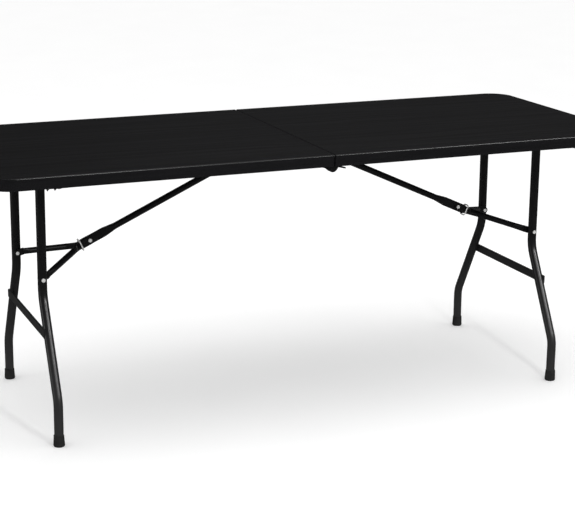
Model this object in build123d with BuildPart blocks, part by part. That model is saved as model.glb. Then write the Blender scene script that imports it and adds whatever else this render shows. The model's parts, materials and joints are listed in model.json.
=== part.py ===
"""Centre-folding table: two hollow plastic half tops on steel rails, two folding leg frames,
each held open by a locking brace. X runs along the table, Y across it, Z up, in millimetres.
The origin is on the floor under the middle of the table. side is +1 right, -1 left;
row is -1 front, +1 rear."""
from build123d import *
import math
import os

os.makedirs("parts", exist_ok=True)

# ---- Driving dimensions ----
TABLE_LENGTH = 1820.0
TABLE_WIDTH = 740.0
TABLE_HEIGHT = 740.0
RIM_DEPTH = 32.0
DECK_THICKNESS = 10.0
SKIRT_THICKNESS = 11.0
SEAM_WALL = 10.0
SEAM_GAP = 0.75            # from the middle plane to each half
CORNER_RADIUS = 70.0
SEAM_CORNER_RADIUS = 4.0
EDGE_ROUND = 4.0
DECK_SKIN = 3.0
SKIRT_SKIN = 2.5
NOTCH_MARGIN = 4.0         # hinge notch beyond the rail's inner face
VENT_RADIUS = 2.5
VENT_Y = 200.0

SCREW_RADIUS = 2.0
SCREW_HEAD_RADIUS = 4.2
SCREW_HEAD_HEIGHT = 2.4
SCREW_TIP = 2.5            # tip above the deck's lower skin
RAIL_SCREW_X = [150.0, 320.0, 490.0, 655.0, 785.0]
STRAP_SCREW_Y = [120.0, 250.0]
STRAP_WIDTH = 36.0
STRAP_THICKNESS = 4.0
STRAP_HALF_LENGTH = 329.5
STRAP_CORNER = 5.0

LEG_RADIUS = 12.5
TUBE_WALL = 1.5
LEG_TOP_X = 734.3          # leg axis at table-top height
LEG_LEAN = 9.3 / 740.0     # the legs lean out towards the floor
UPPER_HALF_SPACING = 150.3
FOOT_HALF_SPACING = 288.5
UPPER_BEND_Z = 375.0
LOWER_BEND_Z = 121.0
UPPER_BEND_RADIUS = 95.0
LOWER_BEND_RADIUS = 70.0
TUBE_END_Z = 5.0
SADDLE_RISE = 4.0          # leg tube above the pivot axis
HOLE_START = 20.0          # cross holes start this far inboard of a leg axis

PIVOT_X = 734.5            # leg fold axis
PIVOT_Z = 715.5
PIVOT_RADIUS = 8.0
RUNNING = 0.05             # radial running clearance
TOUCH = 0.1                # two heights closer than this are the same
LAYER_GAP = 0.3            # between faces of pieces that turn past each other
BUSH_RADIUS = 10.0
BUSH_FLANGE_RADIUS = 12.5
BUSH_FLANGE = 2.5
BUSH_DEPTH = 3.0           # bush inside the rail's outer face

BRACKET_START_X = 706.0
BRACKET_END_X = 768.0
BRACKET_BOTTOM = 704.0
BRACKET_TOP = 729.0
BRACKET_CHAMFER = 6.0
BRACKET_HEEL = 4.0
TOOTH_X = [745.5, 764.5]
TOOTH_DROP = 5.0
TOOTH_RUN = 5.0
TOOTH_BACK = 2.0

CROSSBAR_Z = 285.0
CROSSBAR_OFFSET = 11.0     # outboard of the leg axis
CROSSBAR_HEIGHT = 25.0
CROSSBAR_THICKNESS = 7.0
CROSSBAR_HALF_LENGTH = 209.0

BOOT_HEIGHT = 31.0
BOOT_TOP_RADIUS = 14.0
BOOT_BASE_RADIUS = 15.4
BOOT_LIP = 2.0             # rounding of the sole
BOOT_SOLE_TOP = 3.0
BOOT_RIM = 1.0

RAIL_INNER_Y = 330.0
RAIL_OUTER_Y = 348.0
RAIL_HEIGHT = 18.0
RAIL_START_X = 14.5
RAIL_END_X = 800.0
RAIL_WALL = 1.5
RAIL_CORNER = 2.1

FOLD_AXIS_Z = 705.0        # centre hinge axis, at x = 0
KNUCKLE_RADIUS = 14.0
LEAF_THICKNESS = 4.0
LEAF_TOP = 727.5
LEAF_OUTLINE = {           # right and left leaf, without the round knuckle
    1: [(90, LEAF_TOP), (90, 710), (19, 708), (11, 696), (0, 705), (0, 717), (10, LEAF_TOP)],
    -1: [(90, LEAF_TOP), (90, 710), (34, 706), (20, 702), (10, 694), (0, 705), (0, 717), (10, LEAF_TOP)],
}
SPUR_OUTLINE = [(10, 708), (20, 706.5), (37, 701.5), (36.3, 698), (18, 702.5), (9, 704)]
LEAF_PAD_X = (26, 88)      # spacer between the right leaf and its rail
LEAF_PAD_Z = (710.5, 726.5)
HINGE_PIN_RADIUS = 4.0
HINGE_HEAD_RADIUS = 6.5
HINGE_HEAD_HEIGHT = 1.8

ARM_RIVET_X = 738.0        # arm to leg rivet
ARM_RIVET_Z = 419.0
KNUCKLE_X = 566.5          # arms to upper brace rivet
KNUCKLE_Z = 474.43         # set so that brace and arms fold flat onto each other
BRACE_TOP_X = 40.0         # upper brace to clevis pin
BRACE_TOP_Z = 713.5
BRACE_RADIUS = 9.0
ARM_RADIUS = 8.5
TONGUE_WIDTH = 26.0
TONGUE_THICKNESS = 7.0
TONGUE_LENGTH = 46.0       # flattened length above the knuckle rivet
TONGUE_TAIL = 34.0         # flattened length below it, inside the ring
TONGUE_EDGE = 1.5
TAPER_LENGTH = 35.0
BRACE_PLUG = 14.0          # solid length at the top pin
DRAIN_RADIUS = 1.6
DRAIN_SETBACK = 12.0
ARM_PLATE = 4.0
PLATE_WIDTH = 20.0
EYE_WIDTH = 19.0
ARM_BEND = 34.0            # from the knuckle rivet to where each arm turns outwards
EYE_BEND = 16.0            # from the leg rivet to where each arm turns inwards
ARM_TAPER = 34.0
RIVET_RADIUS = 4.0
RIVET_HEAD_RADIUS = 5.2
RIVET_HEAD_HEIGHT = 2.6
KNUCKLE_HEAD_HEIGHT = 2.2
KNUCKLE_SLACK = 0.2
RIM_SHARE = 0.6            # rounding of a head, as a share of its height

CLEVIS_PIN_RADIUS = 4.0
CLEVIS_HEAD_RADIUS = 6.5
CLEVIS_HEAD_HEIGHT = 2.5
CLEVIS_GAP = BRACE_RADIUS + 0.5
CLEVIS_WALL = 3.0
CLEVIS_WIDTH = 24.0
CLEVIS_EAR_WIDTH = 20.0

RING_SEAT = 28.0           # ring position below the knuckle rivet
RING_WIRE_RADIUS = 1.9
RING_HALF_WIDTH = 12.6
RING_HALF_HEIGHT = 15.4
RING_CORNER = 5.0

HANDLE_X = -455.0
HANDLE_Y = 364.5
HANDLE_Z = 702.5
HANDLE_HALF_WIDTH = 50.0
HANDLE_DROP = 42.0
HANDLE_BAR_RADIUS = 4.7
HANDLE_CORNER = 14.0
HANDLE_EYE_LENGTH = 14.0
ROD_RADIUS = 2.5
ROD_OVERHANG = 2.0
EYE_RADIUS = 4.8
CLIP_OFFSET = 64.0
CLIP_LENGTH = 12.0

RIM_BOTTOM = TABLE_HEIGHT - RIM_DEPTH
DECK_BOTTOM = TABLE_HEIGHT - DECK_THICKNESS
HALF_LENGTH = TABLE_LENGTH / 2
HALF_WIDTH = TABLE_WIDTH / 2
LEAF_INNER_Y = RAIL_OUTER_Y + 0.2
RIGHT_LEAF_INNER_Y = LEAF_INNER_Y + LEAF_THICKNESS + LAYER_GAP
PLATE_INNER_Y = TONGUE_THICKNESS / 2 + LAYER_GAP
PLATE_OUTER_Y = PLATE_INNER_Y + ARM_PLATE
EYE_OUTER_Y = UPPER_HALF_SPACING - LEG_RADIUS - LAYER_GAP
EYE_INNER_Y = EYE_OUTER_Y - ARM_PLATE
SIDES = {"left": -1, "right": 1}
ROWS = {"front": -1, "rear": 1}


def save(piece, name):
    """Label one finished piece and write it under its node name."""
    piece.label = name
    export_step(piece, f"parts/{name}.step")


def leg_axis_x(z):
    return LEG_TOP_X + LEG_LEAN * (TABLE_HEIGHT - z)


def pin_plane(side, x, y, z, outward):
    """Plane across a pin that runs along Y; outward is the sign of its normal."""
    return Plane(origin=(side * x, y, z), x_dir=(1, 0, 0), z_dir=(0, outward, 0))


def slot_plane(side, x, y, z, direction):
    """Plane of a plate that lies in XZ, local X along the given direction."""
    along = Vector(side * direction[0], 0, direction[1])
    return Plane(origin=(side * x, y, z), x_dir=along, z_dir=(0, 1, 0))


# ---- Half top ----
def plan_outline(side, inset, seam_inset, corner):
    """Rounded plan of one half, drawn in from its outer edges and from its seam edge."""
    x_seam = SEAM_GAP + seam_inset
    x_end = HALF_LENGTH - inset
    with Locations((side * (x_seam + x_end) / 2, 0)):
        Rectangle(x_end - x_seam, TABLE_WIDTH - 2 * inset)
    far = [v for v in vertices() if abs(v.X) > HALF_LENGTH / 2]
    fillet(far, corner)


def make_top(side):
    with BuildPart() as top:
        with BuildSketch(Plane.XY.offset(RIM_BOTTOM)):
            plan_outline(side, 0, 0, CORNER_RADIUS)
            near = [v for v in vertices() if abs(v.X) < CORNER_RADIUS]
            fillet(near, SEAM_CORNER_RADIUS)
        extrude(amount=RIM_DEPTH)
        fillet(top.faces().sort_by(Axis.Z)[-1].edges(), EDGE_ROUND)
        fillet(top.faces().sort_by(Axis.Z)[0].edges(), EDGE_ROUND / 2)
        # recess under the deck, where the rails sit and the legs stow
        with BuildSketch(Plane.XY.offset(RIM_BOTTOM)):
            plan_outline(side, SKIRT_THICKNESS, SEAM_WALL, CORNER_RADIUS - SKIRT_THICKNESS)
        extrude(amount=RIM_DEPTH - DECK_THICKNESS, mode=Mode.SUBTRACT)
        # hinge notches through the seam wall
        skirt_inner = HALF_WIDTH - SKIRT_THICKNESS
        notch_width = skirt_inner - RAIL_INNER_Y + NOTCH_MARGIN
        for row in ROWS.values():
            with BuildSketch(Plane.XY.offset(RIM_BOTTOM)):
                with Locations((side * SEAM_WALL / 2, row * (skirt_inner - notch_width / 2))):
                    Rectangle(SEAM_WALL * 2, notch_width)
            extrude(amount=RIM_DEPTH - DECK_THICKNESS, mode=Mode.SUBTRACT)
        # the space inside the blow-moulded walls
        with BuildSketch(Plane.XY.offset(DECK_BOTTOM + DECK_SKIN)):
            plan_outline(side, SKIRT_SKIN, DECK_SKIN, CORNER_RADIUS - SKIRT_SKIN)
        extrude(amount=DECK_THICKNESS - 2 * DECK_SKIN, mode=Mode.SUBTRACT)
        with BuildSketch(Plane.XY.offset(RIM_BOTTOM + DECK_SKIN)):
            plan_outline(side, SKIRT_SKIN, CORNER_RADIUS, CORNER_RADIUS - SKIRT_SKIN)
            with BuildSketch(mode=Mode.SUBTRACT):
                inner = SKIRT_THICKNESS - SKIRT_SKIN
                plan_outline(side, inner, SEAM_WALL, CORNER_RADIUS - inner)
        extrude(amount=RIM_DEPTH - 2 * DECK_SKIN, mode=Mode.SUBTRACT)
        # vents left by the blow needles in the bottom of the end skirt
        vent_x = side * (HALF_LENGTH - SKIRT_THICKNESS / 2)
        with BuildSketch(Plane.XY.offset(RIM_BOTTOM)):
            with Locations((vent_x, -VENT_Y), (vent_x, VENT_Y)):
                Circle(VENT_RADIUS)
        extrude(amount=DECK_SKIN + 1, mode=Mode.SUBTRACT)
        # pilot holes for the screws that hold the rails and the strap
        with BuildSketch(Plane.XY.offset(DECK_BOTTOM)):
            with Locations(*screw_places(side)):
                Circle(SCREW_RADIUS)
        extrude(amount=DECK_SKIN, mode=Mode.SUBTRACT)
    return top.part


# ---- Screws, rails and strap ----
def rail_screw_places(side):
    rail_y = (RAIL_INNER_Y + RAIL_OUTER_Y) / 2
    return [(side * x, row * rail_y) for x in RAIL_SCREW_X for row in ROWS.values()]


def strap_screw_places(side):
    return [(side * BRACE_TOP_X, row * y) for y in STRAP_SCREW_Y for row in ROWS.values()]


def screw_places(side):
    return rail_screw_places(side) + strap_screw_places(side)


def make_screws(side):
    """Pan-head screws: their shanks run up through rail or strap into the deck."""
    tip_z = DECK_BOTTOM + DECK_SKIN + SCREW_TIP
    with BuildPart() as screws:
        for places, seat_z in (
            (rail_screw_places(side), DECK_BOTTOM - RAIL_HEIGHT),
            (strap_screw_places(side), DECK_BOTTOM - STRAP_THICKNESS),
        ):
            head_z = seat_z - SCREW_HEAD_HEIGHT
            with BuildSketch(Plane.XY.offset(head_z)):
                with Locations(*places):
                    Circle(SCREW_HEAD_RADIUS)
            extrude(amount=SCREW_HEAD_HEIGHT)
            with BuildSketch(Plane.XY.offset(seat_z)):
                with Locations(*places):
                    Circle(SCREW_RADIUS)
            extrude(amount=tip_z - seat_z)
            rims = [e for e in screws.edges() if abs(e.center().Z - head_z) < TOUCH]
            fillet(rims, SCREW_HEAD_HEIGHT / 2)
    return screws.part


def make_rail(side, row):
    """Square-section steel rail, open at both ends."""
    rail_y = row * (RAIL_INNER_Y + RAIL_OUTER_Y) / 2
    rail_z = DECK_BOTTOM - RAIL_HEIGHT / 2
    width = RAIL_OUTER_Y - RAIL_INNER_Y
    with BuildPart() as rail:
        start = (side * RAIL_START_X, rail_y, rail_z)
        with BuildSketch(Plane(origin=start, x_dir=(0, 1, 0), z_dir=(side, 0, 0))):
            RectangleRounded(width, RAIL_HEIGHT, RAIL_CORNER)
            Rectangle(width - 2 * RAIL_WALL, RAIL_HEIGHT - 2 * RAIL_WALL, mode=Mode.SUBTRACT)
        extrude(amount=RAIL_END_X - RAIL_START_X)
        places = [(side * x, rail_y) for x in RAIL_SCREW_X]
        with BuildSketch(Plane.XY.offset(DECK_BOTTOM - RAIL_HEIGHT)):
            with Locations(*places):
                Circle(SCREW_RADIUS)
        extrude(amount=RAIL_HEIGHT, mode=Mode.SUBTRACT)
        # notch for the leg pivot bush
        with BuildSketch(pin_plane(side, PIVOT_X, 0, PIVOT_Z, row)):
            Circle(BUSH_RADIUS)
        extrude(amount=RAIL_OUTER_Y + 1, mode=Mode.SUBTRACT)
    return rail.part


def make_strap(side):
    with BuildPart() as strap:
        with BuildSketch(Plane.XY.offset(DECK_BOTTOM - STRAP_THICKNESS)):
            with Locations((side * BRACE_TOP_X, 0)):
                Rectangle(STRAP_WIDTH, 2 * STRAP_HALF_LENGTH)
            fillet(vertices(), STRAP_CORNER)
            with Locations(*strap_screw_places(side)):
                Circle(SCREW_RADIUS, mode=Mode.SUBTRACT)
        extrude(amount=STRAP_THICKNESS)
    return strap.part


# ---- Leg pivot ----
def bracket_outline():
    """Side profile of a pivot plate in XZ: chamfered front corner, two teeth, heel."""
    corners = [
        (BRACKET_START_X, BRACKET_TOP),
        (BRACKET_START_X, BRACKET_BOTTOM + BRACKET_CHAMFER),
        (BRACKET_START_X + BRACKET_CHAMFER, BRACKET_BOTTOM),
    ]
    for tooth_x in TOOTH_X:
        corners += [
            (tooth_x - TOOTH_RUN, BRACKET_BOTTOM),
            (tooth_x, BRACKET_BOTTOM - TOOTH_DROP),
            (tooth_x + TOOTH_BACK, BRACKET_BOTTOM),
        ]
    return corners + [(BRACKET_END_X, BRACKET_BOTTOM + BRACKET_HEEL), (BRACKET_END_X, BRACKET_TOP)]


def make_leg_bracket(side, row):
    """Pivot plate on the outer face of the rail, with two small teeth on its lower edge."""
    start = Plane(origin=(0, row * RAIL_OUTER_Y, 0), x_dir=(1, 0, 0), z_dir=(0, -1, 0))
    with BuildPart() as bracket:
        with BuildSketch(start):
            with BuildLine():
                Polyline([(side * x, z) for x, z in bracket_outline()], close=True)
            make_face()
            with Locations((side * PIVOT_X, PIVOT_Z)):
                Circle(BUSH_RADIUS, mode=Mode.SUBTRACT)
        extrude(amount=-row * LEAF_THICKNESS)
    return bracket.part


def make_leg_bushes(side):
    with BuildPart() as bushes:
        for row in ROWS.values():
            for radius, start, length in (
                (BUSH_RADIUS, RAIL_OUTER_Y - BUSH_DEPTH, LEAF_THICKNESS + BUSH_DEPTH),
                (BUSH_FLANGE_RADIUS, RAIL_OUTER_Y + LEAF_THICKNESS, BUSH_FLANGE),
            ):
                with BuildSketch(pin_plane(side, PIVOT_X, row * start, PIVOT_Z, row)):
                    Circle(radius)
                    Circle(PIVOT_RADIUS + RUNNING, mode=Mode.SUBTRACT)
                extrude(amount=length)
    return bushes.part


def make_pivot_tube(side):
    half = RAIL_OUTER_Y + LEAF_THICKNESS + BUSH_FLANGE + 1
    with BuildPart() as tube:
        with BuildSketch(pin_plane(side, PIVOT_X, -half, PIVOT_Z, 1)):
            Circle(PIVOT_RADIUS)
            Circle(PIVOT_RADIUS - TUBE_WALL, mode=Mode.SUBTRACT)
        extrude(amount=2 * half)
    return tube.part


# ---- Leg frame ----
def leg_point(side, row, half_spacing, z):
    return (side * leg_axis_x(z), row * half_spacing, z)


def make_leg_tube(side, row):
    """Bent leg: straight down, splayed outwards, straight again at the foot."""
    with BuildPart() as leg:
        with BuildLine() as path:
            FilletPolyline(
                leg_point(side, row, UPPER_HALF_SPACING, PIVOT_Z + SADDLE_RISE),
                leg_point(side, row, UPPER_HALF_SPACING, UPPER_BEND_Z),
                leg_point(side, row, FOOT_HALF_SPACING, LOWER_BEND_Z),
                leg_point(side, row, FOOT_HALF_SPACING, TUBE_END_Z),
                radius=[UPPER_BEND_RADIUS, LOWER_BEND_RADIUS],
            )
        with BuildSketch(Plane(origin=path.line @ 0, z_dir=path.line % 0)):
            Circle(LEG_RADIUS)
            Circle(LEG_RADIUS - TUBE_WALL, mode=Mode.SUBTRACT)
        sweep()
        # saddle over the pivot tube
        hole_y = row * (UPPER_HALF_SPACING - HOLE_START)
        with BuildSketch(pin_plane(side, PIVOT_X, hole_y, PIVOT_Z, row)):
            Circle(PIVOT_RADIUS)
        extrude(amount=2 * HOLE_START, mode=Mode.SUBTRACT)
        # slot for the crossbar
        with BuildSketch(crossbar_plane(side)):
            SlotOverall(CROSSBAR_HEIGHT, CROSSBAR_THICKNESS)
        extrude(amount=CROSSBAR_HALF_LENGTH, both=True, mode=Mode.SUBTRACT)
        # rivet hole for the brace arm
        with BuildSketch(pin_plane(side, ARM_RIVET_X, hole_y, ARM_RIVET_Z, row)):
            Circle(RIVET_RADIUS)
        extrude(amount=2 * HOLE_START, mode=Mode.SUBTRACT)
    return leg.part


def crossbar_plane(side):
    """Plane across the oval crossbar, outboard of the leg axis; local X is up."""
    x = side * (leg_axis_x(CROSSBAR_Z) + CROSSBAR_OFFSET)
    return Plane(origin=(x, 0, CROSSBAR_Z), x_dir=(0, 0, 1), z_dir=(0, 1, 0))


def make_crossbar(side):
    with BuildPart() as bar:
        with BuildSketch(crossbar_plane(side)):
            SlotOverall(CROSSBAR_HEIGHT, CROSSBAR_THICKNESS)
        extrude(amount=CROSSBAR_HALF_LENGTH, both=True)
    return bar.part


def make_foot(side, row):
    """Rubber boot pushed over the end of the leg tube, with a flat, rounded base."""
    base = (side * leg_axis_x(0), row * FOOT_HALF_SPACING, 0)
    top = leg_point(side, row, FOOT_HALF_SPACING, TUBE_END_Z)
    axis = Vector(-side * LEG_LEAN, 0, 1).normalized()
    with BuildPart() as boot:
        with BuildSketch(Plane(origin=base, x_dir=(1, 0, 0), z_dir=(0, -1, 0))):
            with BuildLine():
                Polyline(
                    (0, 0),
                    (BOOT_BASE_RADIUS - BOOT_LIP, 0),
                    (BOOT_BASE_RADIUS, BOOT_SOLE_TOP),
                    (BOOT_TOP_RADIUS, BOOT_HEIGHT),
                    (0, BOOT_HEIGHT),
                    close=True,
                )
            make_face()
        revolve(axis=Axis(base, (0, 0, 1)))
        fillet(boot.edges().filter_by(GeomType.CIRCLE).sort_by(Axis.Z)[-1], BOOT_RIM)
        with BuildSketch(Plane(origin=top, z_dir=axis)):
            Circle(LEG_RADIUS)
        extrude(amount=BOOT_HEIGHT, mode=Mode.SUBTRACT)
    return boot.part


# ---- Brace ----
def unit(dx, dz):
    length = math.hypot(dx, dz)
    return dx / length, dz / length


BRACE_LENGTH = math.hypot(KNUCKLE_X - BRACE_TOP_X, KNUCKLE_Z - BRACE_TOP_Z)
BRACE_DIR = unit(KNUCKLE_X - BRACE_TOP_X, KNUCKLE_Z - BRACE_TOP_Z)


def along_brace(distance):
    """Point in XZ at a distance from the knuckle; negative is up towards the top pin."""
    return KNUCKLE_X + BRACE_DIR[0] * distance, KNUCKLE_Z + BRACE_DIR[1] * distance


def brace_section(side, distance):
    """Plane across the upper brace; local X is across the table."""
    x, z = along_brace(distance)
    normal = (side * BRACE_DIR[0], 0, BRACE_DIR[1])
    return Plane(origin=(side * x, 0, z), x_dir=(0, 1, 0), z_dir=normal)


def make_upper_brace(side):
    """Tube from the clevis to a flattened tongue that is riveted between the arms."""
    tube_length = BRACE_LENGTH - TONGUE_LENGTH - TAPER_LENGTH
    flat_end = -TONGUE_LENGTH
    with BuildPart() as brace:
        with BuildSketch(brace_section(side, -BRACE_LENGTH)):
            Circle(BRACE_RADIUS)
        extrude(amount=tube_length)
        with Locations((side * BRACE_TOP_X, 0, BRACE_TOP_Z)):
            Sphere(BRACE_RADIUS)
        with BuildSketch(brace_section(side, flat_end - TAPER_LENGTH)):
            Circle(BRACE_RADIUS)
        with BuildSketch(brace_section(side, flat_end)):
            RectangleRounded(TONGUE_THICKNESS, TONGUE_WIDTH, TONGUE_EDGE)
        loft()
        # tongue, rounded at its tail
        with BuildSketch(brace_section(side, flat_end)):
            RectangleRounded(TONGUE_THICKNESS, TONGUE_WIDTH, TONGUE_EDGE)
        extrude(amount=TONGUE_LENGTH)
        tail_straight = TONGUE_TAIL - TONGUE_WIDTH / 2
        mid_x, mid_z = along_brace(tail_straight / 2)
        with BuildSketch(slot_plane(side, mid_x, 0, mid_z, BRACE_DIR)):
            SlotCenterToCenter(tail_straight, TONGUE_WIDTH)
        extrude(amount=TONGUE_THICKNESS / 2, both=True)
        # bore of the tube and its drain hole
        with BuildSketch(brace_section(side, -BRACE_LENGTH + BRACE_PLUG)):
            Circle(BRACE_RADIUS - TUBE_WALL)
        extrude(amount=tube_length - BRACE_PLUG, mode=Mode.SUBTRACT)
        drain_x, drain_z = along_brace(flat_end - TAPER_LENGTH - DRAIN_SETBACK)
        with BuildSketch(Plane(origin=(side * drain_x, 0, drain_z), z_dir=(0, 0, -1))):
            Circle(DRAIN_RADIUS)
        extrude(amount=2 * BRACE_RADIUS, mode=Mode.SUBTRACT)
        # pin hole and rivet hole
        with BuildSketch(pin_plane(side, BRACE_TOP_X, 0, BRACE_TOP_Z, 1)):
            Circle(CLEVIS_PIN_RADIUS + RUNNING)
        extrude(amount=BRACE_RADIUS + 1, both=True, mode=Mode.SUBTRACT)
        with BuildSketch(pin_plane(side, KNUCKLE_X, 0, KNUCKLE_Z, 1)):
            Circle(RIVET_RADIUS)
        extrude(amount=TONGUE_THICKNESS, both=True, mode=Mode.SUBTRACT)
    return brace.part


def make_clevis(side):
    base_top = DECK_BOTTOM - STRAP_THICKNESS
    half = CLEVIS_GAP + CLEVIS_WALL
    with BuildPart() as clevis:
        with BuildSketch(Plane.XY.offset(base_top - CLEVIS_WALL)):
            with Locations((side * BRACE_TOP_X, 0)):
                Rectangle(CLEVIS_WIDTH, 2 * half)
        extrude(amount=CLEVIS_WALL)
        for row in ROWS.values():
            with BuildSketch(pin_plane(side, BRACE_TOP_X, row * CLEVIS_GAP, BRACE_TOP_Z, row)):
                Circle(CLEVIS_EAR_WIDTH / 2)
            extrude(amount=CLEVIS_WALL)
            ear_height = base_top - BRACE_TOP_Z
            with BuildSketch(Plane.XY.offset(BRACE_TOP_Z)):
                with Locations((side * BRACE_TOP_X, row * (CLEVIS_GAP + CLEVIS_WALL / 2))):
                    Rectangle(CLEVIS_EAR_WIDTH, CLEVIS_WALL)
            extrude(amount=ear_height)
        with BuildSketch(pin_plane(side, BRACE_TOP_X, 0, BRACE_TOP_Z, 1)):
            Circle(CLEVIS_PIN_RADIUS)
        extrude(amount=half + 1, both=True, mode=Mode.SUBTRACT)
    return clevis.part


def headed_pin(side, x, z, radius, half, head_radius, head_height):
    """Pin along Y through the middle of the table, with a rounded head at each end."""
    with BuildPart() as pin:
        with BuildSketch(pin_plane(side, x, 0, z, 1)):
            Circle(radius)
        extrude(amount=half, both=True)
        for row in ROWS.values():
            with BuildSketch(pin_plane(side, x, row * half, z, row)):
                Circle(head_radius)
            extrude(amount=head_height)
            rim = pin.edges().filter_by(GeomType.CIRCLE).sort_by(Axis.Y)[-1 if row > 0 else 0]
            fillet(rim, head_height * RIM_SHARE)
    return pin.part


def make_clevis_pin(side):
    half = CLEVIS_GAP + CLEVIS_WALL
    head = (CLEVIS_HEAD_RADIUS, CLEVIS_HEAD_HEIGHT)
    return headed_pin(side, BRACE_TOP_X, BRACE_TOP_Z, CLEVIS_PIN_RADIUS, half, *head)


def make_knuckle_rivet(side):
    """Rivet through arms and tongue; its heads are low, so the ring slides over them."""
    half = PLATE_OUTER_Y + KNUCKLE_SLACK
    head = (RIVET_HEAD_RADIUS, KNUCKLE_HEAD_HEIGHT)
    return headed_pin(side, KNUCKLE_X, KNUCKLE_Z, RIVET_RADIUS, half, *head)


def make_arm(side, row):
    """Brace arm: tube flattened at both ends, one end on the knuckle rivet, one on the leg."""
    bend_x, bend_z = along_brace(ARM_BEND)
    to_eye = unit(ARM_RIVET_X - bend_x, ARM_RIVET_Z - bend_z)
    plate_y = row * (PLATE_INNER_Y + PLATE_OUTER_Y) / 2
    eye_y = row * (EYE_INNER_Y + EYE_OUTER_Y) / 2
    upper = Vector(side * bend_x, plate_y, bend_z)
    lower_x = ARM_RIVET_X - to_eye[0] * EYE_BEND
    lower_z = ARM_RIVET_Z - to_eye[1] * EYE_BEND
    lower = Vector(side * lower_x, eye_y, lower_z)
    axis = (lower - upper).normalized()
    across = Vector(side * to_eye[0], 0, to_eye[1]).cross(Vector(0, 1, 0)).normalized()
    tube_start = upper + axis * ARM_TAPER
    tube_end = lower - axis * ARM_TAPER
    plate_dir = Vector(side * BRACE_DIR[0], 0, BRACE_DIR[1])
    plate_across = plate_dir.cross(Vector(0, 1, 0)).normalized()
    eye_dir = Vector(side * to_eye[0], 0, to_eye[1])
    with BuildPart() as arm:
        # flattened plate beside the tongue
        mid_x, mid_z = along_brace(ARM_BEND / 2)
        with BuildSketch(slot_plane(side, mid_x, plate_y, mid_z, BRACE_DIR)):
            SlotCenterToCenter(ARM_BEND, PLATE_WIDTH)
        extrude(amount=ARM_PLATE / 2, both=True)
        # taper, tube, taper
        with BuildSketch(Plane(origin=upper, x_dir=plate_across, z_dir=plate_dir)):
            Ellipse(PLATE_WIDTH / 2, ARM_PLATE / 2)
        with BuildSketch(Plane(origin=tube_start, x_dir=across, z_dir=axis)):
            Circle(ARM_RADIUS)
        loft()
        with BuildSketch(Plane(origin=tube_start, x_dir=across, z_dir=axis)):
            Circle(ARM_RADIUS)
        extrude(amount=(tube_end - tube_start).length)
        with BuildSketch(Plane(origin=tube_end, x_dir=across, z_dir=axis)):
            Circle(ARM_RADIUS)
        with BuildSketch(Plane(origin=lower, x_dir=across, z_dir=eye_dir)):
            Ellipse(EYE_WIDTH / 2, ARM_PLATE / 2)
        loft()
        # flattened eye on the inner face of the leg
        eye_mid_x = (lower_x + ARM_RIVET_X) / 2
        eye_mid_z = (lower_z + ARM_RIVET_Z) / 2
        with BuildSketch(slot_plane(side, eye_mid_x, eye_y, eye_mid_z, to_eye)):
            SlotCenterToCenter(EYE_BEND, EYE_WIDTH)
        extrude(amount=ARM_PLATE / 2, both=True)
        # bore and drain hole
        with BuildSketch(Plane(origin=tube_start, x_dir=across, z_dir=axis)):
            Circle(ARM_RADIUS - TUBE_WALL)
        extrude(amount=(tube_end - tube_start).length, mode=Mode.SUBTRACT)
        with BuildSketch(Plane(origin=tube_end - axis * DRAIN_SETBACK, z_dir=(0, 0, -1))):
            Circle(DRAIN_RADIUS)
        extrude(amount=2 * ARM_RADIUS, mode=Mode.SUBTRACT)
        # rivet holes
        with BuildSketch(pin_plane(side, KNUCKLE_X, row * PLATE_INNER_Y, KNUCKLE_Z, row)):
            Circle(RIVET_RADIUS + RUNNING)
        extrude(amount=ARM_PLATE, mode=Mode.SUBTRACT)
        with BuildSketch(pin_plane(side, ARM_RIVET_X, row * (EYE_INNER_Y - 1), ARM_RIVET_Z, row)):
            Circle(RIVET_RADIUS)
        extrude(amount=ARM_PLATE + 2, mode=Mode.SUBTRACT)
    return arm.part


def rivet_group(side, shank_start, shank_end, head_outward):
    """Rivets at the two leg holes: a shank between two distances and a head on one end."""
    with BuildPart() as rivets:
        for row in ROWS.values():
            with BuildSketch(pin_plane(side, ARM_RIVET_X, row * shank_start, ARM_RIVET_Z, row)):
                Circle(RIVET_RADIUS)
            extrude(amount=shank_end - shank_start)
            head_y = row * (shank_end if head_outward else shank_start)
            outward = row if head_outward else -row
            with BuildSketch(pin_plane(side, ARM_RIVET_X, head_y, ARM_RIVET_Z, outward)):
                Circle(RIVET_HEAD_RADIUS)
            extrude(amount=RIVET_HEAD_HEIGHT)
            rim_y = head_y + outward * RIVET_HEAD_HEIGHT
            rim = [e for e in rivets.edges() if abs(e.center().Y - rim_y) < TOUCH]
            fillet(rim, RIVET_HEAD_HEIGHT * RIM_SHARE)
    return rivets.part


def make_leg_rivets(side):
    """Outer part of each leg rivet: the shank through the leg and its outer head."""
    outer_face = UPPER_HALF_SPACING + LEG_RADIUS
    return rivet_group(side, UPPER_HALF_SPACING - LEG_RADIUS, outer_face, True)


def make_arm_rivets(side):
    """Inner part of each leg rivet: its head and the shank inside the arm's eye."""
    return rivet_group(side, EYE_INNER_Y, EYE_OUTER_Y, False)


def make_ring(side):
    """Wire ring that slides down over the tongue's tail and the arm plates to lock them."""
    plane = brace_section(side, RING_SEAT)
    corners = [
        (-RING_HALF_WIDTH, -RING_HALF_HEIGHT), (RING_HALF_WIDTH, -RING_HALF_HEIGHT),
        (RING_HALF_WIDTH, RING_HALF_HEIGHT), (-RING_HALF_WIDTH, RING_HALF_HEIGHT),
    ]
    with BuildPart() as ring:
        with BuildLine(plane) as loop:
            FilletPolyline(*corners, radius=RING_CORNER, close=True)
        with BuildSketch(Plane(origin=loop.line @ 0, z_dir=loop.line % 0)):
            Circle(RING_WIRE_RADIUS)
        sweep()
    return ring.part


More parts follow.
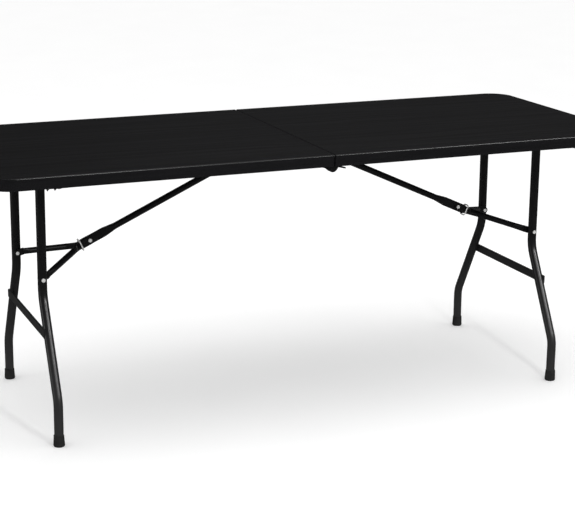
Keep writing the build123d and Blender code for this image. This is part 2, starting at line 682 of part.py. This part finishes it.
# ---- Centre hinge ----
def make_hinge_leaf(side, row):
    """Flat leaf on the outer face of the rail; the right one is set out past the left one."""
    inner = LEAF_INNER_Y if side < 0 else RIGHT_LEAF_INNER_Y
    start = Plane(origin=(0, row * inner, 0), x_dir=(1, 0, 0), z_dir=(0, -1, 0))
    bore = HINGE_PIN_RADIUS if side < 0 else HINGE_PIN_RADIUS + RUNNING
    with BuildPart() as leaf:
        with BuildSketch(start):
            with BuildLine():
                Polyline([(side * x, z) for x, z in LEAF_OUTLINE[side]], close=True)
            make_face()
            with Locations((0, FOLD_AXIS_Z)):
                Circle(KNUCKLE_RADIUS)
            if side > 0:
                with BuildLine():
                    Polyline(SPUR_OUTLINE, close=True)
                make_face()
            with Locations((0, FOLD_AXIS_Z)):
                Circle(bore, mode=Mode.SUBTRACT)
        extrude(amount=-row * LEAF_THICKNESS)
        if side > 0:
            pad = Plane(origin=(0, row * RAIL_OUTER_Y, 0), x_dir=(1, 0, 0), z_dir=(0, -1, 0))
            with BuildSketch(pad):
                with Locations((sum(LEAF_PAD_X) / 2, sum(LEAF_PAD_Z) / 2)):
                    Rectangle(LEAF_PAD_X[1] - LEAF_PAD_X[0], LEAF_PAD_Z[1] - LEAF_PAD_Z[0])
            extrude(amount=-row * (inner - RAIL_OUTER_Y))
    return leaf.part


def make_hinge_pins():
    """The two centre hinge pins, front and rear, each with a head on both ends."""
    start = LEAF_INNER_Y
    end = RIGHT_LEAF_INNER_Y + LEAF_THICKNESS + LAYER_GAP
    with BuildPart() as pins:
        for row in ROWS.values():
            with BuildSketch(pin_plane(1, 0, row * start, FOLD_AXIS_Z, row)):
                Circle(HINGE_PIN_RADIUS)
            extrude(amount=end - start)
            for face_y, outward in ((start, -row), (end, row)):
                with BuildSketch(pin_plane(1, 0, row * face_y, FOLD_AXIS_Z, outward)):
                    Circle(HINGE_HEAD_RADIUS)
                extrude(amount=HINGE_HEAD_HEIGHT)
    return pins.part


# ---- Carry handle ----
def handle_plane(x):
    """Plane across the handle rod, facing along the table."""
    return Plane(origin=(x, HANDLE_Y, HANDLE_Z), x_dir=(0, 1, 0), z_dir=(1, 0, 0))


def make_handle():
    left = HANDLE_X - HANDLE_HALF_WIDTH
    right = HANDLE_X + HANDLE_HALF_WIDTH
    bottom = HANDLE_Z - HANDLE_DROP
    with BuildPart() as handle:
        with BuildLine() as path:
            FilletPolyline(
                (left, HANDLE_Y, HANDLE_Z),
                (left, HANDLE_Y, bottom),
                (right, HANDLE_Y, bottom),
                (right, HANDLE_Y, HANDLE_Z),
                radius=HANDLE_CORNER,
            )
        with BuildSketch(Plane(origin=path.line @ 0, z_dir=path.line % 0)):
            Circle(HANDLE_BAR_RADIUS)
        sweep()
        for x in (left, right):
            with BuildSketch(handle_plane(x)):
                Circle(EYE_RADIUS)
            extrude(amount=HANDLE_EYE_LENGTH / 2, both=True)
        with BuildSketch(handle_plane(HANDLE_X)):
            Circle(ROD_RADIUS + RUNNING)
        extrude(amount=HANDLE_HALF_WIDTH + HANDLE_EYE_LENGTH, both=True, mode=Mode.SUBTRACT)
    return handle.part


def make_handle_rod():
    with BuildPart() as rod:
        with BuildSketch(handle_plane(HANDLE_X)):
            Circle(ROD_RADIUS)
        extrude(amount=CLIP_OFFSET + CLIP_LENGTH / 2 + ROD_OVERHANG, both=True)
    return rod.part


def make_handle_clips():
    with BuildPart() as clips:
        for x in (HANDLE_X - CLIP_OFFSET, HANDLE_X + CLIP_OFFSET):
            with BuildSketch(handle_plane(x)):
                Circle(EYE_RADIUS)
                with Locations((0, (RIM_BOTTOM - HANDLE_Z) / 2)):
                    Rectangle(2 * EYE_RADIUS, RIM_BOTTOM - HANDLE_Z)
                Circle(ROD_RADIUS, mode=Mode.SUBTRACT)
            extrude(amount=CLIP_LENGTH / 2, both=True)
    return clips.part


# ---- Build every node ----
for side_name, side in SIDES.items():
    save(make_top(side), f"top_{side_name}")
    save(make_screws(side), f"deck_screws_{side_name}")
    save(make_strap(side), f"brace_strap_{side_name}")
    save(make_clevis(side), f"brace_clevis_{side_name}")
    save(make_clevis_pin(side), f"clevis_pin_{side_name}")
    save(make_leg_bushes(side), f"pivot_bushes_{side_name}")
    save(make_pivot_tube(side), f"pivot_tube_{side_name}")
    save(make_crossbar(side), f"crossbar_{side_name}")
    save(make_upper_brace(side), f"upper_brace_{side_name}")
    save(make_knuckle_rivet(side), f"knuckle_rivet_{side_name}")
    save(make_leg_rivets(side), f"leg_rivets_{side_name}")
    save(make_arm_rivets(side), f"arm_rivets_{side_name}")
    save(make_ring(side), f"lock_ring_{side_name}")
    for row_name, row in ROWS.items():
        place = f"{side_name}_{row_name}"
        save(make_rail(side, row), f"rail_{place}")
        save(make_leg_bracket(side, row), f"pivot_bracket_{place}")
        save(make_hinge_leaf(side, row), f"hinge_leaf_{place}")
        save(make_leg_tube(side, row), f"leg_tube_{place}")
        save(make_foot(side, row), f"foot_{place}")
        save(make_arm(side, row), f"brace_arm_{place}")
save(make_hinge_pins(), "hinge_pins")
save(make_handle(), "carry_handle")
save(make_handle_rod(), "handle_rod")
save(make_handle_clips(), "handle_clips")
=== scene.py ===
"""Looks for the centre-folding table: materials, fine mesh pieces, studio, lights and camera."""
import bmesh
import bpy
import json
import math
from mathutils import Matrix, Vector


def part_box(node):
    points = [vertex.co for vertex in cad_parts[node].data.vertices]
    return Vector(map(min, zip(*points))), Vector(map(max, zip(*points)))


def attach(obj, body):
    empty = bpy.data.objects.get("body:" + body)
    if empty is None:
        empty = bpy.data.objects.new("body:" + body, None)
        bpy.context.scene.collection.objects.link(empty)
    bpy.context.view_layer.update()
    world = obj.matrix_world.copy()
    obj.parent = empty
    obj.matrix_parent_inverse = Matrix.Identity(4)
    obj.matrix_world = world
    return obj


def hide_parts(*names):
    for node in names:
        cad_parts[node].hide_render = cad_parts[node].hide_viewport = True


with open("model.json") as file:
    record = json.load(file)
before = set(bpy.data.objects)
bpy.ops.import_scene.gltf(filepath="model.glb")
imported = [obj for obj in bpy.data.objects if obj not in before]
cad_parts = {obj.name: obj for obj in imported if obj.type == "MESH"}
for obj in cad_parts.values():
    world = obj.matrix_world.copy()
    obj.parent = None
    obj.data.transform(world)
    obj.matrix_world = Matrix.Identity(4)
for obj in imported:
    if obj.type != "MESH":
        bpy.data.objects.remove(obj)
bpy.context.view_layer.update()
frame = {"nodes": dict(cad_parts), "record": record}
SIDES = {"left": -1, "right": 1}
ROWS = {"front": -1, "rear": 1}
MM = 0.001

# ---- Materials (metres) ----
DECK_FACE_Z = (0.7388, 0.7396)    # the embossed grain fades in over this height
RIM_ROUGHNESS = 0.27
RIM_SPECULAR = 0.55
GRAIN_SPECULAR = 0.17
GRAIN_DARK = (0.0030, 0.0029, 0.0036)
GRAIN_LIGHT = (0.0058, 0.0056, 0.0070)
# Painted light on the steel legs: paler towards the floor where they are lit, darker higher up in the
# shade under the top.
FLOOR_LIGHT_Z = (0.42, 0.06)             # no painted floor light above the first height, full painted floor light at the second
FLOOR_LIGHT_WANDER = 0.12
FLOOR_LIGHT_COLOUR = (0.0235, 0.0232, 0.0236, 1)

# ---- Fine pieces (mm) ----
DIMPLE_PITCH = 52.0
DIMPLE_DEPTH = 2.3
DIMPLE_KEEP_OFF = 17.0            # clear margin round the dimpled field
PIVOT_BEAD = 1.3
CROSSBAR_BEAD = 1.2
LEG_RADIUS = 12.5
LEG_SPLAY = math.atan2(138.2, 254.0)
LEG_UPPER_Y = 150.3               # leg axis above its upper bend
LEG_BEND_Z = 375.0
CROSSBAR_OFFSET = 11.0            # crossbar centre outward of the leg axis

# ---- Studio radiances ----
WORLD_FILL = 0.92
WORLD_GLOSS = 0.075         # share of the fill that glossy reflections see
OVERHEAD = 1.1
FRONT_STRIP = 28.0
RIM_STRIP = 34.0            # seen by glossy reflections only
LEFT_BOX = 2.0
BACK_BOX = 0.03
FLOOR_HALF = 60.0           # metres
FLOOR_GLOW = 0.12           # keeps the floor white out to the horizon

# ---- Camera ----
CAMERA_PLACE = Vector((-1.675, -4.0947, 1.5578))
CAMERA_YAW = 0.364         # turned right from +Y
CAMERA_PITCH = -0.321      # looking down
CAMERA_ROLL = 0.001
CAMERA_LENS = 99.3
CAMERA_SHIFT = (0.077, 0.1587)


def make_camera():
    """Camera of the reference view."""
    forward = Vector((
        math.sin(CAMERA_YAW) * math.cos(CAMERA_PITCH),
        math.cos(CAMERA_YAW) * math.cos(CAMERA_PITCH),
        math.sin(CAMERA_PITCH),
    ))
    level = Vector((math.cos(CAMERA_YAW), -math.sin(CAMERA_YAW), 0))
    upright = level.cross(forward)
    right = level * math.cos(CAMERA_ROLL) + upright * math.sin(CAMERA_ROLL)
    up = upright * math.cos(CAMERA_ROLL) - level * math.sin(CAMERA_ROLL)
    data = bpy.data.cameras.new("camera")
    data.lens = CAMERA_LENS
    data.shift_x, data.shift_y = CAMERA_SHIFT
    data.clip_end = 300
    camera = bpy.data.objects.new("camera", data)
    turn = Matrix((right, up, -forward)).transposed()
    camera.matrix_world = Matrix.Translation(CAMERA_PLACE) @ turn.to_4x4()
    bpy.context.collection.objects.link(camera)
    bpy.context.scene.camera = camera


# ---- Materials ----
class Nodes:
    """Short calls for building one material's node tree."""

    def __init__(self, name):
        self.material = bpy.data.materials.new(name)
        self.material.use_nodes = True
        self.tree = self.material.node_tree
        self.shader = self.tree.nodes["Principled BSDF"]
        coords = self.add("ShaderNodeTexCoord")
        self.place = coords.outputs["Object"]

    def add(self, kind, **settings):
        node = self.tree.nodes.new(kind)
        for name, value in settings.items():
            setattr(node, name, value)
        return node

    def link(self, source, target):
        self.tree.links.new(source, target)

    def scaled(self, scale):
        node = self.add("ShaderNodeMapping")
        node.inputs["Scale"].default_value = scale
        self.link(self.place, node.inputs["Vector"])
        return node.outputs["Vector"]

    def noise(self, vector, scale=1.0, detail=3.0, rough=0.55, distort=0.0):
        node = self.add("ShaderNodeTexNoise")
        node.inputs["Scale"].default_value = scale
        node.inputs["Detail"].default_value = detail
        node.inputs["Roughness"].default_value = rough
        node.inputs["Distortion"].default_value = distort
        self.link(vector, node.inputs["Vector"])
        return node.outputs["Fac"]

    def math(self, operation, first, second):
        node = self.add("ShaderNodeMath", operation=operation)
        for socket, value in zip(node.inputs, (first, second)):
            if isinstance(value, (int, float)):
                socket.default_value = value
            else:
                self.link(value, socket)
        return node.outputs[0]

    def remap(self, value, low_in, high_in, low, high):
        node = self.add("ShaderNodeMapRange")
        self.link(value, node.inputs["Value"])
        settings = ("From Min", low_in), ("From Max", high_in), ("To Min", low), ("To Max", high)
        for name, number in settings:
            node.inputs[name].default_value = number
        return node.outputs[0]

    def ramp(self, value, dark, light, low=0.3, high=0.7):
        node = self.add("ShaderNodeValToRGB")
        first, last = node.color_ramp.elements
        first.position, last.position = low, high
        first.color = (*dark, 1)
        last.color = (*light, 1)
        self.link(value, node.inputs["Fac"])
        return node.outputs["Color"]

    def bump(self, height, strength, distance, before=None):
        node = self.add("ShaderNodeBump")
        node.inputs["Strength"].default_value = strength
        node.inputs["Distance"].default_value = distance
        self.link(height, node.inputs["Height"])
        if before is not None:
            self.link(before, node.inputs["Normal"])
        return node.outputs["Normal"]

    def set(self, name, value):
        socket = self.shader.inputs[name]
        if isinstance(value, (int, float, tuple)):
            socket.default_value = value
        else:
            self.link(value, socket)


def top_plastic():
    """Black moulded plastic: wood grain embossed along the table's face, smooth rim and underside."""
    n = Nodes("top_plastic")
    bend = n.noise(n.scaled((2.2, 9.0, 9.0)), detail=2, rough=0.5)
    bent = n.math("MULTIPLY", bend, 5.0)
    split = n.add("ShaderNodeSeparateXYZ")
    n.link(n.place, split.inputs["Vector"])
    lines_y = n.math("MULTIPLY_ADD", split.outputs["Y"], 70.0)
    n.link(bent, lines_y.node.inputs[2])
    figure_vector = n.add("ShaderNodeCombineXYZ")
    n.link(n.math("MULTIPLY", split.outputs["X"], 1.6), figure_vector.inputs["X"])
    n.link(lines_y, figure_vector.inputs["Y"])
    n.link(n.math("MULTIPLY", split.outputs["Z"], 70.0), figure_vector.inputs["Z"])
    figure = n.noise(figure_vector.outputs[0], detail=4, rough=0.6)
    fibre = n.noise(n.scaled((9.0, 650.0, 650.0)), detail=3, rough=0.65)
    pores = n.noise(n.scaled((28.0, 420.0, 420.0)), detail=1, rough=0.5)
    pores = n.remap(pores, 0.56, 0.66, 0.0, 1.0)
    raised = n.math("ADD", figure, n.math("MULTIPLY", fibre, 0.45))
    relief = n.math("SUBTRACT", raised, n.math("MULTIPLY", pores, 0.35))
    face = n.remap(split.outputs["Z"], *DECK_FACE_Z, 0.0, 1.0)
    normal = n.bump(n.math("MULTIPLY", relief, face), 0.55, 0.00035)
    tone = n.math("ADD", n.math("MULTIPLY", figure, 0.7), n.math("MULTIPLY", fibre, 0.3))
    n.set("Base Color", n.ramp(tone, GRAIN_DARK, GRAIN_LIGHT, 0.35, 0.65))
    over_rim = n.math("SUBTRACT", n.remap(tone, 0.3, 0.7, 0.52, 0.40), RIM_ROUGHNESS)
    n.set("Roughness", n.math("ADD", n.math("MULTIPLY", over_rim, face), RIM_ROUGHNESS))
    n.set("Specular IOR Level", n.remap(face, 0.0, 1.0, RIM_SPECULAR, GRAIN_SPECULAR))
    n.link(normal, n.shader.inputs["Normal"])
    return n.material


def black_steel():
    """Semi-gloss black powder coat with a faint orange peel, painted paler towards the floor as
    painted floor light, and rougher there.
    """
    n = Nodes("black_steel")
    peel = n.noise(n.scaled((1, 1, 1)), scale=420, detail=2, rough=0.5)
    slow = n.noise(n.scaled((1, 1, 1)), scale=14, detail=3, rough=0.6)
    split = n.add("ShaderNodeSeparateXYZ")
    n.link(n.place, split.inputs["Vector"])
    wander = n.math("MULTIPLY", n.math("SUBTRACT", slow, 0.5), FLOOR_LIGHT_WANDER)
    # Painted light: the legs turn paler towards the floor, where they are lit, and stay dark higher
    # up in the top's shade; the same mask makes the coat rougher there.
    dust_and_floor_light = n.remap(n.math("ADD", split.outputs["Z"], wander), *FLOOR_LIGHT_Z, 0.0, 1.0)
    paint = n.ramp(slow, (0.0034, 0.0034, 0.0039), (0.0056, 0.0056, 0.0062))
    mix = n.add("ShaderNodeMix", data_type="RGBA")
    n.link(dust_and_floor_light, mix.inputs["Factor"])
    n.link(paint, mix.inputs["A"])
    mix.inputs["B"].default_value = FLOOR_LIGHT_COLOUR
    n.set("Base Color", mix.outputs["Result"])
    polish = n.remap(slow, 0.3, 0.7, 0.24, 0.33)
    n.set("Roughness", n.math("ADD", polish, n.math("MULTIPLY", dust_and_floor_light, 0.12)))
    n.set("Specular IOR Level", 0.5)
    n.link(n.bump(peel, 0.35, 0.00012), n.shader.inputs["Normal"])
    return n.material


def boot_rubber():
    """Matt rubber with a little pale dusting."""
    n = Nodes("boot_rubber")
    fine = n.noise(n.scaled((1, 1, 1)), scale=900, detail=3, rough=0.6)
    dust_and_floor_light = n.noise(n.scaled((1, 1, 1)), scale=60, detail=4, rough=0.65)
    n.set("Base Color", n.ramp(dust_and_floor_light, (0.0065, 0.0065, 0.0068), (0.017, 0.0165, 0.0155)))
    n.set("Roughness", n.remap(dust_and_floor_light, 0.3, 0.7, 0.62, 0.82))
    n.link(n.bump(fine, 0.4, 0.0002), n.shader.inputs["Normal"])
    return n.material


def zinc_steel():
    """Bright zinc plate, slightly cloudy."""
    n = Nodes("zinc_steel")
    cloud = n.noise(n.scaled((1, 1, 1)), scale=260, detail=4, rough=0.6)
    n.set("Base Color", n.ramp(cloud, (0.76, 0.76, 0.75), (0.94, 0.94, 0.93)))
    n.set("Metallic", 0.45)
    n.set("Roughness", n.remap(cloud, 0.3, 0.7, 0.20, 0.36))
    n.link(n.bump(cloud, 0.2, 0.0001), n.shader.inputs["Normal"])
    return n.material


def plain_plastic(name, dark, light, rough):
    """Fine-grained plastic between two tones."""
    n = Nodes(name)
    grain = n.noise(n.scaled((1, 1, 1)), scale=700, detail=3, rough=0.6)
    slow = n.noise(n.scaled((1, 1, 1)), scale=30, detail=3, rough=0.6)
    n.set("Base Color", n.ramp(slow, dark, light))
    n.set("Roughness", n.remap(slow, 0.3, 0.7, rough - 0.06, rough + 0.08))
    n.link(n.bump(grain, 0.3, 0.0001), n.shader.inputs["Normal"])
    return n.material


def dress_nodes():
    """Gives every CAD node the procedural material of its slot."""
    looks = {
        "top_plastic": top_plastic(),
        "black_steel": black_steel(),
        "boot_rubber": boot_rubber(),
        "zinc_steel": zinc_steel(),
        "nylon": plain_plastic("nylon", (0.02, 0.02, 0.021), (0.03, 0.03, 0.031), 0.5),
        "handle_plastic": plain_plastic(
            "handle_plastic", (0.009, 0.009, 0.010), (0.015, 0.015, 0.016), 0.45
        ),
    }
    for part in frame["record"]["subparts"]:
        node = frame["nodes"][part["node"]]
        for index in range(max(1, len(node.material_slots))):
            if not node.material_slots:
                node.data.materials.append(looks[part["material_slot"]])
            else:
                node.material_slots[index].material = looks[part["material_slot"]]
    return looks


# ---- Fine pieces ----
def new_piece(name, mesh, body, slot, angle=35):
    """Object for a finished mesh, smooth except at sharp edges, riding on a body."""
    mesh.shade_smooth()
    mesh.set_sharp_from_angle(angle=math.radians(angle))
    helper = bpy.data.objects.new(name + "_helper", mesh)
    bpy.context.collection.objects.link(helper)
    normals = helper.modifiers.new("normals", "WEIGHTED_NORMAL")
    normals.keep_sharp = True
    graph = bpy.context.evaluated_depsgraph_get()
    weighted = bpy.data.meshes.new_from_object(helper.evaluated_get(graph))
    bpy.data.objects.remove(helper)
    piece = bpy.data.objects.new(name, weighted)
    bpy.context.collection.objects.link(piece)
    piece.data.materials.clear()
    piece.data.materials.append(LOOKS[slot])
    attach(piece, body)
    return piece


def welded_copy(node):
    """The CAD node's mesh with its split vertices joined again."""
    work = bmesh.new()
    work.from_mesh(frame["nodes"][node].data)
    bmesh.ops.remove_doubles(work, verts=work.verts, dist=0.002 * MM)
    return work


def cut(node, name, body, slot, cutter_work, angle=35):
    """Replaces a CAD node by a copy of itself with the cutter's shapes taken out."""
    work = welded_copy(node)
    mesh = bpy.data.meshes.new(name)
    work.to_mesh(mesh)
    work.free()
    cutter_mesh = bpy.data.meshes.new(name + "_cutter")
    bmesh.ops.recalc_face_normals(cutter_work, faces=cutter_work.faces)
    cutter_work.to_mesh(cutter_mesh)
    cutter_work.free()
    cutter = bpy.data.objects.new(name + "_cutter", cutter_mesh)
    source = bpy.data.objects.new(name + "_source", mesh)
    for helper in (cutter, source):
        bpy.context.collection.objects.link(helper)
    taken = source.modifiers.new("cut", "BOOLEAN")
    taken.operation = "DIFFERENCE"
    taken.solver = "EXACT"
    taken.object = cutter
    graph = bpy.context.evaluated_depsgraph_get()
    result = bpy.data.meshes.new_from_object(source.evaluated_get(graph))
    for helper in (cutter, source):
        bpy.data.objects.remove(helper)
    piece = new_piece(name, result, body, slot, angle)
    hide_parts(node)
    return piece


def turned(work, centre, profile, segments=20):
    """Adds a closed shape of revolution about Z: profile is (radius, height) from its tip."""
    rings = []
    for radius, height in profile:
        ring = []
        for index in range(segments):
            angle = 2 * math.pi * index / segments
            place = (
                centre[0] + radius * math.cos(angle),
                centre[1] + radius * math.sin(angle),
                centre[2] + height,
            )
            ring.append(work.verts.new(place))
        rings.append(ring)
    for low, high in zip(rings, rings[1:]):
        for index in range(segments):
            after = (index + 1) % segments
            work.faces.new((low[index], low[after], high[after], high[index]))
    work.faces.new(rings[0][::-1])
    work.faces.new(rings[-1])


def dimple_places(side_name):
    """Staggered grid under the deck, clear of skirt, seam wall, strap, clevis and rails."""
    low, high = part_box("top_" + side_name)
    strap_low, strap_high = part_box("brace_strap_" + side_name)
    rail_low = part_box(f"rail_{side_name}_rear")[0]
    keep = DIMPLE_KEEP_OFF * MM
    x_low = low[0] + 2 * keep
    x_high = high[0] - 2 * keep
    y_high = rail_low[1] - keep
    pitch = DIMPLE_PITCH * MM
    columns = int((x_high - x_low) / pitch)
    rows = int(2 * y_high / pitch)
    for column in range(columns + 1):
        x = (x_low + x_high) / 2 + (column - columns / 2) * pitch
        for row in range(rows + 1):
            y = (row - rows / 2) * pitch + (column % 2 - 0.5) * pitch / 2
            if abs(y) > y_high:
                continue
            if strap_low[0] - keep < x < strap_high[0] + keep:
                continue
            yield x, y


def make_top(side_name):
    """Half top with the shallow kiss-off dimples that a blow-moulded deck has underneath."""
    name = "top_" + side_name
    deck_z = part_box(f"rail_{side_name}_front")[1][2]
    profile = [(11.5, -1.0), (11.5, 0.0), (10.2, 0.5), (8.2, 1.7), (6.6, DIMPLE_DEPTH)]
    work = bmesh.new()
    for x, y in dimple_places(side_name):
        turned(work, (x, y, deck_z), [(r * MM, z * MM) for r, z in profile])
    cut(name, name + "_panel", "table_" + side_name, "top_plastic", work, 32)


def bead(name, points, radius, body, ripple=0.16):
    """Weld bead: a rippled tube along a line of points."""
    curve = bpy.data.curves.new(name, "CURVE")
    curve.dimensions = "3D"
    curve.bevel_depth = radius
    curve.bevel_resolution = 3
    curve.use_fill_caps = True
    line = curve.splines.new("POLY")
    line.points.add(len(points) - 1)
    for index, place in enumerate(points):
        line.points[index].co = (*place, 1)
        line.points[index].radius = 1 + ripple * math.sin(index * 2.1)
    helper = bpy.data.objects.new(name, curve)
    bpy.context.collection.objects.link(helper)
    graph = bpy.context.evaluated_depsgraph_get()
    mesh = bpy.data.meshes.new_from_object(helper.evaluated_get(graph))
    bpy.data.objects.remove(helper)
    return new_piece(name, mesh, body, "black_steel", 80)


def make_pivot_welds(side_name, row_name):
    """Beads where the leg's top is welded onto the pivot tube."""
    tube_low, tube_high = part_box("pivot_tube_" + side_name)
    leg_low, leg_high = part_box(f"leg_tube_{side_name}_{row_name}")
    axis_x = (tube_low[0] + tube_high[0]) / 2
    axis_z = (tube_low[2] + tube_high[2]) / 2
    tube_radius = (tube_high[2] - tube_low[2]) / 2
    row = ROWS[row_name]
    leg_radius = LEG_RADIUS * MM
    leg_y = row * (abs(leg_low[1] if row > 0 else leg_high[1]) + leg_radius)
    for face, face_name in ((-1, "inner"), (1, "outer")):
        points = []
        for step in range(49):
            angle = math.radians(-208 + 236 * step / 48)
            dx = tube_radius * math.cos(angle)
            reach = math.sqrt(leg_radius ** 2 - dx ** 2)
            z = axis_z + tube_radius * math.sin(angle)
            points.append((axis_x + dx, leg_y + row * face * reach, z))
        name = f"pivot_weld_{face_name}_{side_name}_{row_name}"
        bead(name, points, PIVOT_BEAD * MM, "leg_frame_" + side_name)


def make_crossbar_welds(side_name, row_name):
    """Bead around the crossbar where it enters the splayed leg."""
    bar_low, bar_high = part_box("crossbar_" + side_name)
    side, row = SIDES[side_name], ROWS[row_name]
    leg_radius = LEG_RADIUS * MM
    bar_z = (bar_low[2] + bar_high[2]) / 2
    bar_half = (bar_high[2] - bar_low[2]) / 2
    bar_x = (bar_low[0] + bar_high[0]) / 2
    bar_radius = (bar_high[0] - bar_low[0]) / 2
    straight = bar_half - bar_radius
    axis_x = bar_x - side * CROSSBAR_OFFSET * MM
    outline = [(math.radians(66 + 114 * i / 12), straight) for i in range(13)]
    outline += [(math.pi, straight * (1 - i / 8)) for i in range(1, 16)]
    outline += [(math.radians(180 + 114 * i / 12), -straight) for i in range(13)]
    points = []
    for angle, rise in outline:
        offset = CROSSBAR_OFFSET * MM + bar_radius * math.cos(angle)
        z = bar_z + rise + bar_radius * math.sin(angle)
        leg_y = LEG_UPPER_Y * MM + (LEG_BEND_Z * MM - z) * math.tan(LEG_SPLAY)
        reach = math.sqrt(max(0.0, leg_radius ** 2 - offset ** 2)) / math.cos(LEG_SPLAY)
        points.append((axis_x + side * offset, row * (leg_y - reach), z))
    name = f"crossbar_weld_{side_name}_{row_name}"
    bead(name, points, CROSSBAR_BEAD * MM, "leg_frame_" + side_name)


def make_fine_pieces():
    for side_name in SIDES:
        make_top(side_name)
        for row_name in ROWS:
            make_pivot_welds(side_name, row_name)
            make_crossbar_welds(side_name, row_name)


# ---- Studio ----
def make_floor():
    """Pale floor out to the horizon."""
    half = FLOOR_HALF
    mesh = bpy.data.meshes.new("floor")
    mesh.from_pydata(
        [(-half, -half, 0), (half, -half, 0), (half, half, 0), (-half, half, 0)], [], [(0, 1, 2, 3)]
    )
    floor = bpy.data.objects.new("floor", mesh)
    bpy.context.collection.objects.link(floor)
    n = Nodes("floor_paint")
    mottle = n.noise(n.scaled((1, 1, 1)), scale=3, detail=3)
    n.set("Base Color", n.ramp(mottle, (0.94, 0.94, 0.94), (0.96, 0.96, 0.96)))
    n.set("Roughness", 0.9)
    n.set("Specular IOR Level", 0.1)
    n.set("Emission Color", (1.0, 1.0, 1.0, 1.0))
    n.set("Emission Strength", FLOOR_GLOW)
    floor.data.materials.append(n.material)
    floor.visible_glossy = False


def make_world():
    """White for the camera, soft fill for diffuse light and only a faint share for gloss."""
    world = bpy.data.worlds.new("studio")
    bpy.context.scene.world = world
    world.use_nodes = True
    tree = world.node_tree
    background = tree.nodes["Background"]
    background.inputs["Color"].default_value = (1.0, 1.0, 1.0, 1)
    path = tree.nodes.new("ShaderNodeLightPath")
    shares = []
    for ray, other, own in (("Is Camera Ray", WORLD_FILL, 1.0), ("Is Glossy Ray", 1.0, WORLD_GLOSS)):
        share = tree.nodes.new("ShaderNodeMapRange")
        share.inputs["To Min"].default_value = other
        share.inputs["To Max"].default_value = own
        tree.links.new(path.outputs[ray], share.inputs["Value"])
        shares.append(share.outputs["Result"])
    strength = tree.nodes.new("ShaderNodeMath")
    strength.operation = "MULTIPLY"
    for share, socket in zip(shares, strength.inputs):
        tree.links.new(share, socket)
    tree.links.new(strength.outputs[0], background.inputs["Strength"])
    world.cycles.sampling_method = "NONE"


def area_light(name, place, target, size, radiance):
    """Rectangular softbox of an even radiance; its power follows from its area."""
    data = bpy.data.lights.new(name, "AREA")
    data.shape = "RECTANGLE"
    data.size, data.size_y = size
    data.energy = radiance * math.pi * size[0] * size[1]
    light = bpy.data.objects.new(name, data)
    light.location = place
    aim = Vector(target) - Vector(place)
    light.rotation_mode = "QUATERNION"
    light.rotation_quaternion = aim.to_track_quat("-Z", "Y")
    bpy.context.collection.objects.link(light)
    return light


def make_lights():
    centre = (0, 0, 0.4)
    area_light("overhead", (0.1, -0.2, 3.2), centre, (3.0, 2.6), OVERHEAD)
    area_light("front_strip", (0.28, -3.45, 2.76), centre, (0.30, 1.0), FRONT_STRIP)
    rim = (0.45, -0.37, 0.74)
    rim_strip = area_light("rim_strip", (2.6, -3.3, 2.7), rim, (2.2, 0.35), RIM_STRIP)
    rim_strip.visible_diffuse = False
    area_light("left_box", (-4.2, 0.2, 0.9), centre, (1.2, 1.4), LEFT_BOX)
    area_light("back_box", (2.4, 4.0, 2.1), (0.2, 0, 0.74), (3.4, 1.6), BACK_BOX)


make_camera()
LOOKS = dress_nodes()
make_fine_pieces()
make_floor()
make_world()
make_lights()
bpy.context.scene.view_settings.view_transform = "Standard"
